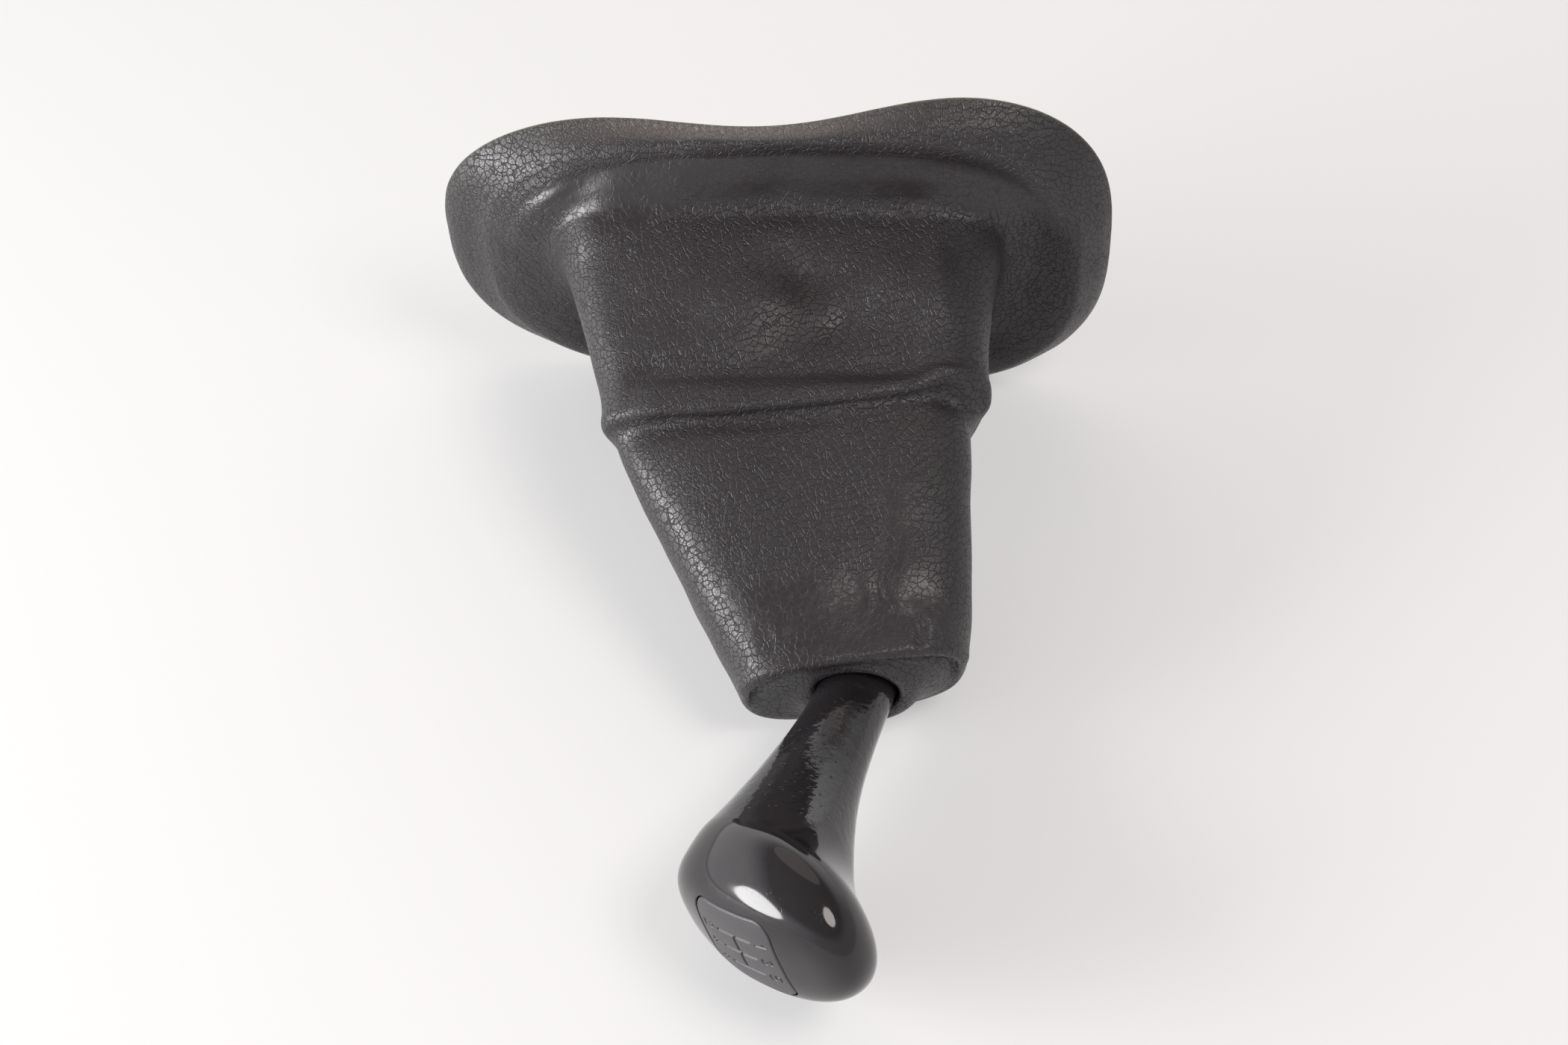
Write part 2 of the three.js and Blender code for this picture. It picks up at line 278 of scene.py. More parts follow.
def gaiter_height(tree, here, where, large, grain):
    """The grain's cells, the ground between them and the rim's ribs."""
    small = cells(tree, where, GRAIN_SMALL_CELL, GRAIN_SMALL_VALLEY)
    height = plus(tree, times(tree, large, GRAIN_HEIGHT), times(tree, small, GRAIN_SMALL_HEIGHT))
    pebble = noise_value(tree, here, PEBBLE_SCALE, 2.0)
    height = plus(tree, times(tree, height, grain), times(tree, pebble, PEBBLE_HEIGHT))
    across = add(tree, "ShaderNodeSeparateXYZ", {0: here}).outputs["X"]
    rib = maths(tree, "SINE", times(tree, across, 2 * math.pi / RIM_PITCH))
    on_rim = times(tree, painted(tree, "rim"), RIM_RIB_HEIGHT)
    return plus(tree, height, times(tree, rib, on_rim))


def gaiter_material():
    made, tree, shader = material("gaiter_vinyl")
    here = place(tree)
    where = warped(tree, here, GRAIN_WARP_SCALE, GRAIN_WARP)
    large = cells(tree, where, GRAIN_CELL, GRAIN_VALLEY)
    uneven = noise_value(tree, here, GRAIN_UNEVEN_SCALE)
    grain = spread(tree, plus(tree, painted(tree, "grain"), uneven), *GRAIN_KEPT)
    bumped(tree, shader, gaiter_height(tree, here, where, large, grain), GRAIN_DEPTH)
    patches = noise_value(tree, here, VINYL_PATCH_SCALE, 4.0)
    # Painted shade: the colour darkens in the grain's valleys, where shade would fall, and varies at random
    # in patches.
    shade = plus(
        tree,
        times(tree, large, VINYL_VALLEY_SHADE_SHARE),
        times(tree, patches, VINYL_PATCH_SHARE),
    )
    colour = blended(tree, shade, VINYL_DARK_AND_VALLEY_SHADE, VINYL_LIGHT)
    # A painted sheen: the brim's top strip is lightened and warmed in the colour, as where it catches the
    # light.
    colour = blended(tree, painted(tree, "painted_sheen"), colour, VINYL_SHEEN)
    colour = blended(tree, painted(tree, "cut_edge"), colour, VINYL_CUT)
    tree.links.new(colour, shader.inputs["Base Color"])
    worn = spread(tree, grain, 0, 1, *VINYL_WORN_ROUGH)
    rough = spread(tree, plus(tree, large, patches), *VINYL_ROUGH_OVER, *VINYL_ROUGH)
    tree.links.new(plus(tree, rough, worn), shader.inputs["Roughness"])
    shader.inputs["Specular IOR Level"].default_value = VINYL_SPECULAR
    return made


# The knob's gloss, with ripples and pits on its neck and fine scratches all over.
GLOSS_DARK = (0.014, 0.012, 0.0142)
GLOSS_LIGHT = (0.022, 0.0195, 0.0215)
GLOSS_WEAR_SCALE = 60
GLOSS_ROUGH = (0.05, 0.12)
GLOSS_ROUGH_OVER = (0.3, 0.8)
GLOSS_DEPTH = 0.2 * MM
RIPPLE_SCALE = 300
RIPPLE_WARP = 3 * MM
RIPPLE_WARP_SCALE = 200
PIT_SPACING = 2.6 * MM
PIT_EDGE = (0.10, 0.2)
PIT_HEIGHT = 0.35
SCRATCH_STRETCH = (9, 1, 3)
SCRATCH_SCALE = 420
SCRATCH_EDGE = (0.68, 0.72)
SCRATCH_HEIGHT = 0.03


def knob_material():
    made, tree, shader = material("knob_gloss")
    here = place(tree)
    ripple = noise_value(tree, warped(tree, here, RIPPLE_WARP_SCALE, RIPPLE_WARP), RIPPLE_SCALE)
    spots = add(tree, "ShaderNodeTexVoronoi", {"Vector": here, "Scale": 1 / PIT_SPACING})
    pits = times(tree, spread(tree, spots.outputs["Distance"], *PIT_EDGE), PIT_HEIGHT)
    height = times(tree, plus(tree, ripple, pits), painted(tree, "neck"))
    stretched = add(tree, "ShaderNodeMapping", {"Vector": here, "Scale": SCRATCH_STRETCH})
    lines = noise_value(tree, stretched.outputs["Vector"], SCRATCH_SCALE, 2.0)
    scratch = spread(tree, lines, *SCRATCH_EDGE, 0, SCRATCH_HEIGHT)
    bumped(tree, shader, maths(tree, "SUBTRACT", height, scratch), GLOSS_DEPTH)
    wear = noise_value(tree, here, GLOSS_WEAR_SCALE, 5.0, 0.7)
    tree.links.new(blended(tree, wear, GLOSS_DARK, GLOSS_LIGHT), shader.inputs["Base Color"])
    tree.links.new(spread(tree, wear, *GLOSS_ROUGH_OVER, *GLOSS_ROUGH), shader.inputs["Roughness"])
    return made


CAP_DARK = (0.044, 0.041, 0.045)
CAP_LIGHT = (0.062, 0.057, 0.062)
CAP_PATCH_SCALE = 200
CAP_ROUGH = (0.36, 0.5)
CAP_TEXTURE_SCALE = 2600
CAP_TEXTURE_DEPTH = 0.05 * MM


def cap_material():
    made, tree, shader = material("cap_matte")
    height = noise_value(tree, place(tree), CAP_TEXTURE_SCALE, 2.0)
    bumped(tree, shader, height, CAP_TEXTURE_DEPTH)
    patches = noise_value(tree, place(tree), CAP_PATCH_SCALE)
    tree.links.new(blended(tree, patches, CAP_DARK, CAP_LIGHT), shader.inputs["Base Color"])
    tree.links.new(spread(tree, height, 0, 1, *CAP_ROUGH), shader.inputs["Roughness"])
    return made


PLAIN_LIGHTER = 1.4
PLAIN_PATCH_SCALE = 300
PLAIN_TEXTURE_SCALE = 2500
PLAIN_TEXTURE_DEPTH = 0.04 * MM


def plain_material(name, colour, low, high):
    """Moulded plastic or rubber with a fine texture, and with a roughness between two values."""
    made, tree, shader = material(name)
    patches = noise_value(tree, place(tree), PLAIN_PATCH_SCALE, 4.0)
    lighter = [PLAIN_LIGHTER * c for c in colour]
    tree.links.new(blended(tree, patches, colour, lighter), shader.inputs["Base Color"])
    tree.links.new(spread(tree, patches, 0, 1, low, high), shader.inputs["Roughness"])
    bumped(tree, shader, noise_value(tree, place(tree), PLAIN_TEXTURE_SCALE), PLAIN_TEXTURE_DEPTH)
    return made


def mesh_object(name, points, faces, finish):
    mesh = bpy.data.meshes.new(name)
    mesh.from_pydata(points.tolist(), [], faces)
    mesh.validate()
    mesh.shade_smooth()
    mesh.materials.append(finish)
    made = bpy.data.objects.new(name, mesh)
    bpy.context.scene.collection.objects.link(made)
    return made


def set_attribute(mesh, name, values):
    made = mesh.attributes.new(name, "FLOAT", "POINT")
    made.data.foreach_set("value", np.asarray(values, np.float32).ravel())


# The gaiter: its CAD solid is one closed grid of rings, read back and drawn finer.
WELD = 0.001 * MM
ROUND_STEPS = 6
OUTSIDE_STEPS = 5
INSIDE_STEPS = 2


def triangle_grid(node):
    """The rings of a node whose triangles halve a closed grid, as an array [ring, step around]."""
    bm = bmesh.new()
    bm.from_mesh(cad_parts[node].data)
    bmesh.ops.remove_doubles(bm, verts=bm.verts, dist=WELD)
    bm.verts.index_update()
    bm.faces.index_update()
    bm.faces.ensure_lookup_table()
    # In every triangle the edge around comes first, then the edge along, then the diagonal. At the
    # brim's edge, where the search starts, the edge around is neither the longest nor the shortest.
    seed = min(bm.faces, key=lambda face: (gaiter_frame.inverted() @ face.calc_center_median()).z)
    lengths = [loop.edge.calc_length() for loop in seed.loops]
    first = {seed.index: lengths.index(sorted(lengths)[1])}
    kind = {seed.index: 0}
    waiting = [seed]
    while waiting:
        face = waiting.pop()
        for at, loop in enumerate(face.loops):
            other = loop.link_loop_radial_next
            if other.face.index in first:
                continue
            there = list(other.face.loops).index(other)
            first[other.face.index] = (there - (at - first[face.index])) % 3
            kind[other.face.index] = 1 - kind[face.index]
            waiting.append(other.face)
    around = {}
    along = {}
    for face in bm.faces:
        if kind[face.index]:
            continue
        ids = [loop.vert.index for loop in face.loops]
        a, b, c = (ids[(first[face.index] + k) % 3] for k in range(3))
        around[a] = b
        along[b] = c
    places = np.array([v.co for v in bm.verts], float)
    bm.free()
    start = next(iter(around))
    column = [start]
    while along[column[-1]] != start:
        column.append(along[column[-1]])
    rings = []
    for one in column:
        ring = [one]
        while around[ring[-1]] != one:
            ring.append(around[ring[-1]])
        rings.append(ring)
    return places[np.array(rings)]


def ordered(grid):
    """The same grid with the brim's outer rim first and the outside's rings next."""
    reach = np.linalg.norm(grid - np.roll(grid, 1, 1), axis=2).sum(1)
    grid = np.roll(grid, -int(reach.argmax()), 0)
    height = to_local(grid.reshape(-1, 3), gaiter_frame)[:, 2].reshape(grid.shape[:2]).mean(1)
    if height[2] < height[-2]:
        grid = np.roll(grid[::-1], 1, 0)
    return grid


def refined(grid, count, axis):
    """A closed smooth curve through the grid's points along one axis, with "count" points a step."""
    before, here, after, beyond = (np.roll(grid, shift, axis) for shift in (1, 0, -1, -2))
    made = []
    for t in np.arange(count) / count:
        shares = (
            -(t**3) + 2 * t**2 - t,
            3 * t**3 - 5 * t**2 + 2,
            -3 * t**3 + 4 * t**2 + t,
            t**3 - t**2,
        )
        made.append(sum(0.5 * s * p for s, p in zip(shares, (before, here, after, beyond))))
    shape = list(grid.shape)
    shape[axis] *= count
    return np.stack(made, axis + 1).reshape(shape)


def grid_normals(grid):
    """The grid's normals, turned so that those of its first ring point out of that ring."""
    step = np.roll(grid, -1, 1) - np.roll(grid, 1, 1)
    rise = np.roll(grid, -1, 0) - np.roll(grid, 1, 0)
    normals = np.cross(step, rise)
    normals /= np.linalg.norm(normals, axis=2, keepdims=True) + 1e-12
    outward = grid[0] - grid[0].mean(0)
    if (normals[0] * outward).sum() < 0:
        normals = -normals
    return normals


def closed_grid_faces(rows, columns):
    index = np.arange(rows * columns).reshape(rows, columns)
    after = np.roll(index, -1, 1)
    corners = [index, after, np.roll(after, -1, 0), np.roll(index, -1, 0)]
    return np.stack(corners, 2).reshape(-1, 4).tolist()


def from_strokes(x, y, strokes):
    """How far each point is from the nearest of the strokes."""
    nearest = np.full(x.shape, 1e9)
    for stroke in strokes:
        for (ax, ay), (bx, by) in zip(stroke, stroke[1:]):
            dx, dy = bx - ax, by - ay
            t = np.clip(((x - ax) * dx + (y - ay) * dy) / (dx * dx + dy * dy + 1e-12), 0, 1)
            nearest = np.minimum(nearest, np.hypot(x - ax - t * dx, y - ay - t * dy))
    return nearest


# What follows is in millimetres and in the gaiter's own frame. A span of two numbers says where
# something begins and where it is whole, along X, Y or Z or counted in the CAD solid's rings.
# Where the levels of those rings stand, counted from the brim's edge:
COVE_RING = 8.5
FOOT_RING = 13
FOLD_RING = 22.5
END_RING = 33.2
FACE_RING = 34.6
RIM_RING = 38.2

# The uppermost panels, and a soft unevenness: its height, the length of its waves and its seed.
TOP_Y = (2, 12)
UNEVENNESS = [(0.3, 34, 3), (0.12, 15, 4)]

# Soft swellings (+) and hollows (-) of the uppermost panels: x and z of the middle, how far it
# reaches along each, its turn in degrees, and its height, which is scaled by the strength.
SWELLING_STRENGTH = 1.3
SWELLINGS = [
    (-21, 23, 8, 6, -20, 1.3),
    (-13, 38, 7, 6, -20, -1.3),
    (-32, 45, 16, 7, -12, 1.7),
    (-24, 62, 15, 6, -12, -1.2),
    (12, 38, 8, 7, 10, 1.2),
    (17, 57, 7, 8, 10, -1.3),
    (-3, 53, 5, 11, 35, -1.2),
    (26, 38, 5, 16, 0, 0.9),
    (27, 72, 6, 2.6, 25, 1.2),
    (29, 79, 7, 3, 20, -1.0),
    (-56, 34, 12, 12, 0, 0.8),
    (-74, 19, 9, 7, 0, 1.4),
    (-30, 104, 16, 14, 0, 0.7),
    (15, 120, 10, 9, 0, -0.9),
    (-30, 152.5, 3.4, 3.4, 0, 0.9),
    (-23, 150, 3, 3, 0, 0.5),
    (10, 140, 4, 4, -30, 0.4),
    (22, 148, 5, 5, 20, 0.4),
]

# Ridges (+) and grooves (-), each with its height, its middle and its width.
# The fold: a valley before it and a bank behind it along Z, its own line along the rings, and a
# groove down the side below the uppermost panels.
FOLD_REAR_X = (-72, -60)
FOLD_FRONT_X = (18, 32)
FOLD_VALLEY = (-2.3, 67.5, 4.6)
FOLD_BANK = (0.7, 81, 2.6)
FOLD_LINE = (0.5, FOLD_RING + 0.2, 0.9)
SIDE_Y = (-20, -10)
SIDE_GROOVE = (-1.0, FOLD_RING, 1.8)

# A faint ridge along the cone, with its middle and width along X.
CONE_RIDGE = (0.35, 14, 4)
CONE_RIDGE_FROM_Z = (94, 104)
CONE_RIDGE_TO_Z = (132, 140)

# The cove, filled at the rear and above the block, and the groove round the block's foot.
REAR_X = (-78, -92)
REAR_FILL = (2.0, COVE_RING, 1.6)
TOP_FILL = (1.8, COVE_RING + 0.8, 1.8)
TOP_FILL_TO_X = (20, 40)
FOOT_GROOVE = (-0.7, FOOT_RING + 0.4, 1.3)
FOOT_GROOVE_FROM_X = (-60, -45)

# The lip round the end face, the groove inside it, and the bulge round the collar's mouth.
LIP_Y = (-12, -2)
LIP = (0.9, END_RING - 0.4, 0.8)
FACE_GROOVE = (-2.2, FACE_RING, 0.6)
MOUTH_BULGE = (2.4, RIM_RING, 1.1)

# A fine crease that runs down to the lip, through these points of x and z, and its soft bank.
CREASE = [(5.2, 135.5), (6.4, 141), (11, 145.6), (16, 145.8), (17.6, 149), (17, 153.5)]
CREASE_GROOVE = (-0.45, 0, 1.3)
CREASE_BANK = (0.25, 2.6, 1.6)

# The relief fades out at both ends of the outside.
FADE_IN_RINGS = (0, 3)
FADE_OUT_RINGS = (39, 40.5)


def waves(x, y, z, length, seed):
    """A soft unevenness between about -1 and 1."""
    turn = np.random.default_rng(seed).uniform(-1, 1, (6, 4))
    total = 0
    for a, b, c, start in turn:
        reach = math.sqrt(a * a + b * b + c * c)
        total = total + np.sin(2 * np.pi * ((a * x + b * y + c * z) / (reach * length) + start))
    return total / 3


def swellings(x, z):
    made = 0
    for at_x, at_z, reach_x, reach_z, turn, height in SWELLINGS:
        c = math.cos(math.radians(turn))
        s = math.sin(math.radians(turn))
        u = ((x - at_x) * c + (z - at_z) * s) / reach_x
        v = ((z - at_z) * c - (x - at_x) * s) / reach_z
        made = made + SWELLING_STRENGTH * height * np.exp(-u * u - v * v)
    return made


def fold_relief(x, y, z, ring, top):
    inward = between(FOLD_REAR_X, FOLD_FRONT_X, x)
    made = top * inward * (ridge(z, FOLD_VALLEY) + ridge(ring, FOLD_LINE) + ridge(z, FOLD_BANK))
    return made + (1 - top) * smoothstep(*SIDE_Y, y) * ridge(ring, SIDE_GROOVE)


def cove_relief(x, ring, top):
    made = smoothstep(*REAR_X, x) * ridge(ring, REAR_FILL)
    made = made + top * (1 - smoothstep(*TOP_FILL_TO_X, x)) * ridge(ring, TOP_FILL)
    return made + top * smoothstep(*FOOT_GROOVE_FROM_X, x) * ridge(ring, FOOT_GROOVE)


def end_relief(x, y, z, ring, top):
    made = top * ridge(x, CONE_RIDGE) * between(CONE_RIDGE_FROM_Z, CONE_RIDGE_TO_Z, z)
    made = made + smoothstep(*LIP_Y, y) * (ridge(ring, LIP) + ridge(ring, FACE_GROOVE))
    made = made + ridge(ring, MOUTH_BULGE)
    from_crease = from_strokes(x, z, [CREASE])
    return made + top * (ridge(from_crease, CREASE_GROOVE) + ridge(from_crease, CREASE_BANK))


def relief(x, y, z, ring):
    """How far the skin stands out from the CAD solid at each point. Its inside follows its outside."""
    top = smoothstep(*TOP_Y, y)
    made = sum(height * waves(x, y, z, length, seed) for height, length, seed in UNEVENNESS)
    made = made + top * swellings(x, z)
    made = made + fold_relief(x, y, z, ring, top)
    made = made + cove_relief(x, ring, top)
    made = made + end_relief(x, y, z, ring, top)
    return made * between(FADE_IN_RINGS, FADE_OUT_RINGS, ring)


# How the block's rear edge leans from its foot to the fold, how full the brim's front is, and how
# the fold bows up in its middle and falls towards the front.
BLOCK_FROM_RINGS = (10, 13)
BLOCK_TO_RINGS = (24, 28)
BLOCK_REAR_X = (-50, -75)
BLOCK_Z = (14, 76)
REAR_LEAN = (-3, 2)
BRIM_FRONT_X = (40, 85)
BRIM_TO_RINGS = (6, 9)
BRIM_FULLNESS = 3
FOLD_TOP_Y = (10, 20)
FOLD_REACH = 3.5
FOLD_BOW = (2, -28, 26)
FOLD_FALL = 3.2
FOLD_FALL_X = (10, 34)


def lean_over(x, y, z, ring):
    """How far each point is moved along the gaiter's own X and Z, as a vector of the row frame."""
    low, high = REAR_LEAN
    on_block = between(BLOCK_FROM_RINGS, BLOCK_TO_RINGS, ring) * smoothstep(*BLOCK_REAR_X, x)
    on_brim = smoothstep(*BRIM_FRONT_X, x) * (1 - smoothstep(*BRIM_TO_RINGS, ring))
    along_x = on_block * (low + (high - low) * smoothstep(*BLOCK_Z, z)) + on_brim * BRIM_FULLNESS
    near_fold = smoothstep(*FOLD_TOP_Y, y) * bell(ring, FOLD_RING, FOLD_REACH)
    along_z = near_fold * (ridge(x, FOLD_BOW) - FOLD_FALL * smoothstep(*FOLD_FALL_X, x))
    turn = array(gaiter_frame)[:3, :3]
    return (along_x[..., None] * turn[:, 0] + along_z[..., None] * turn[:, 2]) * MM


# Where the grain is lost: in the cove above the block, near the collar, there with a slanting
# edge at the front, and in a faint band along the cone.
LOST_TOP_Y = (6, 14)
LOST_COVE_Y = (18, 30)
LOST_COVE_RINGS = (6.8, 8.2)
LOST_TO_RING = 12.2
LOST_TO_RING_REAR = 1.6
LOST_REAR_X = (-35, -70)
LOST_TO_FADE = 1.4
LOST_END_Z = 134
LOST_END_FADE = 3
LOST_END_RINGS = (33.2, 34)
LOST_END_SHARE = 0.95
LOST_BAND_FROM_X = (4, 9)
LOST_BAND_TO_X = (14, 20)
LOST_BAND_Z = (92, 112)
LOST_BAND_SHARE = 0.8
LOST_SLANT_FROM_X = 12
LOST_SLANT = 1.35
LOST_SLANT_AT = (17, 128)
LOST_SLANT_FADE = (-1, 1.5)
# The edges of these places waver: the length of the waves and their seed, and how far each strays.
LOST_WAVES = (9, 7)
LOST_COVE_WAVER = 0.9
LOST_END_WAVER = 1.2
LOST_BAND_WAVER = 0.5


def grain_share(x, y, z, ring):
    """1 where the skin keeps its grain and 0 where it is smooth or worn."""
    uneven = waves(x, y, z, *LOST_WAVES)
    foot = LOST_TO_RING + LOST_TO_RING_REAR * smoothstep(*LOST_REAR_X, x)
    foot = foot + LOST_COVE_WAVER * uneven
    in_cove = between(LOST_COVE_RINGS, (foot - LOST_TO_FADE, foot + LOST_TO_FADE), ring)
    in_cove = in_cove * smoothstep(*LOST_COVE_Y, y)
    edge = LOST_END_Z + LOST_END_WAVER * uneven
    worn = smoothstep(edge - LOST_END_FADE, edge + LOST_END_FADE, z)
    slant_x, slant_z = LOST_SLANT_AT
    slanting = smoothstep(*LOST_SLANT_FADE, z - slant_z - LOST_SLANT * (x - slant_x))
    worn = np.where(x > LOST_SLANT_FROM_X, worn * slanting, worn)
    band = smoothstep(*LOST_BAND_FROM_X, x + LOST_BAND_WAVER * uneven)
    band = band * (1 - smoothstep(*LOST_BAND_TO_X, x)) * smoothstep(*LOST_BAND_Z, z)
    band = LOST_BAND_SHARE * band
    before_face = 1 - smoothstep(*LOST_END_RINGS, ring)
    worn = np.maximum(worn, band) * before_face * smoothstep(*LOST_TOP_Y, y)
    return 1 - np.maximum(in_cove, LOST_END_SHARE * worn)


# The share of grain inside, where the brim's edge is cut and ribbed, and where a painted sheen lightens the
# brim's outer rings on its upper side.
INSIDE_GRAIN = 0.2
CUT_RINGS = (0.05, 0.25)
RIBBED_RINGS = (0.4, 1.4)
RIBBED_X = (1, -50, 26)
SHEEN_RINGS = (1.5, 4.5)
SHEEN_X = (0.6, -36, 42)
SHEEN_Y = (0, 20)


def face_outwards(mesh):
    bm = bmesh.new()
    bm.from_mesh(mesh)
    bmesh.ops.recalc_face_normals(bm, faces=bm.faces)
    bm.to_mesh(mesh)
    bm.free()


def make_gaiter(finish):
    grid = ordered(triangle_grid("gaiter"))
    outside = len(grid) // 2
    fine = refined(refined(grid, OUTSIDE_STEPS, 0), ROUND_STEPS, 1)
    normals = grid_normals(fine)
    ring = np.broadcast_to((np.arange(len(fine)) / OUTSIDE_STEPS)[:, None], fine.shape[:2])
    is_outside = ring <= outside - 1
    cut_edge = 1 - smoothstep(*CUT_RINGS, np.minimum(ring, len(grid) - ring))
    # The inside's rings are counted back from the collar, so that they match the outside's.
    ring = np.where(is_outside, ring, np.clip(len(grid) - 1 - ring, 0, None))
    local = to_local(fine.reshape(-1, 3), gaiter_frame).reshape(fine.shape)
    x, y, z = local[..., 0], local[..., 1], local[..., 2]
    out = np.where(is_outside, 1, -1) * relief(x, y, z, ring) * MM
    fine = fine + normals * out[..., None] + lean_over(x, y, z, ring)
    fine[..., 2] = np.maximum(fine[..., 2], cad_low.z)
    ribbed = (1 - smoothstep(*RIBBED_RINGS, ring)) * ridge(x, RIBBED_X)
    # A painted sheen on the brim's outer rings along its upper side, fading out inwards.
    sheen_share = (1 - smoothstep(*SHEEN_RINGS, ring)) * ridge(x, SHEEN_X) * smoothstep(*SHEEN_Y, y)
    looks = {
        "grain": np.where(is_outside, grain_share(x, y, z, ring), INSIDE_GRAIN),
        "rim": ribbed * is_outside,
        "cut_edge": cut_edge,
        "painted_sheen": sheen_share * is_outside,
    }
    split = outside * OUTSIDE_STEPS
    skip = OUTSIDE_STEPS // INSIDE_STEPS
    keep = list(range(split + 1)) + list(range(split + skip, len(fine), skip))
    rows, columns = fine[keep].shape[:2]
    faces = closed_grid_faces(rows, columns)
    made = mesh_object("gaiter_skin", fine[keep].reshape(-1, 3), faces, finish)
    face_outwards(made.data)
    for name, values in looks.items():
        set_attribute(made.data, name, values[keep])
    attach(made, "root")
    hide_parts("gaiter")


# The knob, in its own frame: +Z out of the collar. The same levels as in the CAD source.
NECK = 11
KNOB_TOP = 100
KNOB_SHIFT = 0.7
TURNED = 23
KNOB_AROUND = 288
LEVEL_STEPS = 16
# Each level: along, wide, deep, shift, turn and square.
KNOB_LEVELS = [
    (-30, NECK - 0.8, NECK - 0.8, 0, 0, 2),
    (-6, NECK - 0.2, NECK - 0.2, 0, 0, 2),
    (16, NECK + 0.2, NECK + 0.2, 0, 0, 2),
    (38, 13, 14.7, -1.4, 5, 2),
    (55, 16.8, 18.6, -0.6, 10.5, 2.1),
    (70, 21.6, 22.8, 1.6, 15.5, 2.2),
    (82.5, 26.4, 32.6, 8, 21, 2.2),
    (95.5, 20.4, 32.9, 4.2, TURNED, 2.3),
    (KNOB_TOP, 13.5, 13.7, KNOB_SHIFT + 0.5, TURNED, 2.6),
    (KNOB_TOP + 0.6, 4, 4, KNOB_SHIFT, TURNED, 2),
]
# The head's top is drawn as a dome from this ring on, and the neck's ripples fade out here.
DOME_FROM = 7 * LEVEL_STEPS
NECK_ENDS = (60, 78)

# The cap: a rounded square let into the head, keeping its dome.
CAP_HALF = 14.5
CAP_CORNER = 5.5
CAP_GAP = 0.35
CAP_DEPTH = 5.5
CAP_ABOVE = 0.4
CAP_EDGE = 0.7
CAP_GRID = 210
POCKET_EDGE = 0.5
POCKET_EDGE_STEPS = 5
DOME_STEPS = 24
# The dome is measured by rays that start this far over it.
OVER_DOME = 30

head_frame = (
    knob_frame
    @ Matrix.Translation(Vector((KNOB_SHIFT, 0, KNOB_TOP + CAP_ABOVE)) * MM)
    @ Matrix.Rotation(-math.radians(TURNED), 4, "Y")
)


def knob_rings():
    levels = np.array(KNOB_LEVELS, float)
    rings = [levels[0]]
    for k in range(1, len(levels) - 1):
        start = (levels[k - 1] + levels[k]) / 2
        stop = (levels[k] + levels[k + 1]) / 2
        for t in (np.arange(LEVEL_STEPS) + 0.5) / LEVEL_STEPS:
            first = start + (levels[k] - start) * t
            second = levels[k] + (stop - levels[k]) * t
            rings.append(first + (second - first) * t)
    rings.append(levels[-1])
    turn = 2 * np.pi * np.arange(KNOB_AROUND) / KNOB_AROUND
    made = []
    for along, wide, deep, shift, tilt, square in rings:
        across = abs(np.cos(turn) / deep) ** square + abs(np.sin(turn) / wide) ** square
        reach = across ** (-1 / square)
        x = np.cos(turn) * reach
        y = np.sin(turn) * reach
        a = math.radians(tilt)
        made.append(np.stack([x * math.cos(a) + shift, y, x * math.sin(a) + along], 1))
    return np.array(made)


def in_head(points):
    """Points of the knob's frame in its head's frame, both in millimetres."""
    return to_local(to_world(points, knob_frame), head_frame)


def loft_faces(rows, columns):
    """The faces of rings lofted one to the next, each end closed by one face."""
    index = np.arange(rows * columns).reshape(rows, columns)
    after = np.roll(index, -1, 1)
    faces = np.stack([index[:-1], after[:-1], after[1:], index[1:]], 2).reshape(-1, 4).tolist()
    return [index[0][::-1].tolist(), *faces, index[-1].tolist()]


class Dome:
    """The smooth top of the knob's head as a height over the head's own plane, in millimetres."""

    def __init__(self, rings):
        rows, columns = rings.shape[:2]
        points = in_head(rings.reshape(-1, 3))
        self.tree = BVHTree.FromPolygons(points.tolist(), loft_faces(rows, columns))

    def height(self, x, y):
        down = Vector((0, 0, -1))
        starts = [Vector((a, b, OVER_DOME)) for a, b in zip(x.ravel(), y.ravel())]
        hits = [self.tree.ray_cast(start, down)[0] for start in starts]
        return np.array([hit.z for hit in hits]).reshape(x.shape)


def rounded_square_reach(angle, half, corner):
    """How far a rounded square reaches from its middle at each angle."""
    c = abs(np.cos(angle))
    s = abs(np.sin(angle))
    inset = half - corner
    along = inset * (c + s)
    at_corner = along + np.sqrt(np.maximum(along**2 - 2 * inset**2 + corner**2, 0))
    at_side = half / np.maximum(c, s)
    on_side = at_side * np.minimum(c, s) <= inset
    return np.where(on_side, at_side, at_corner)


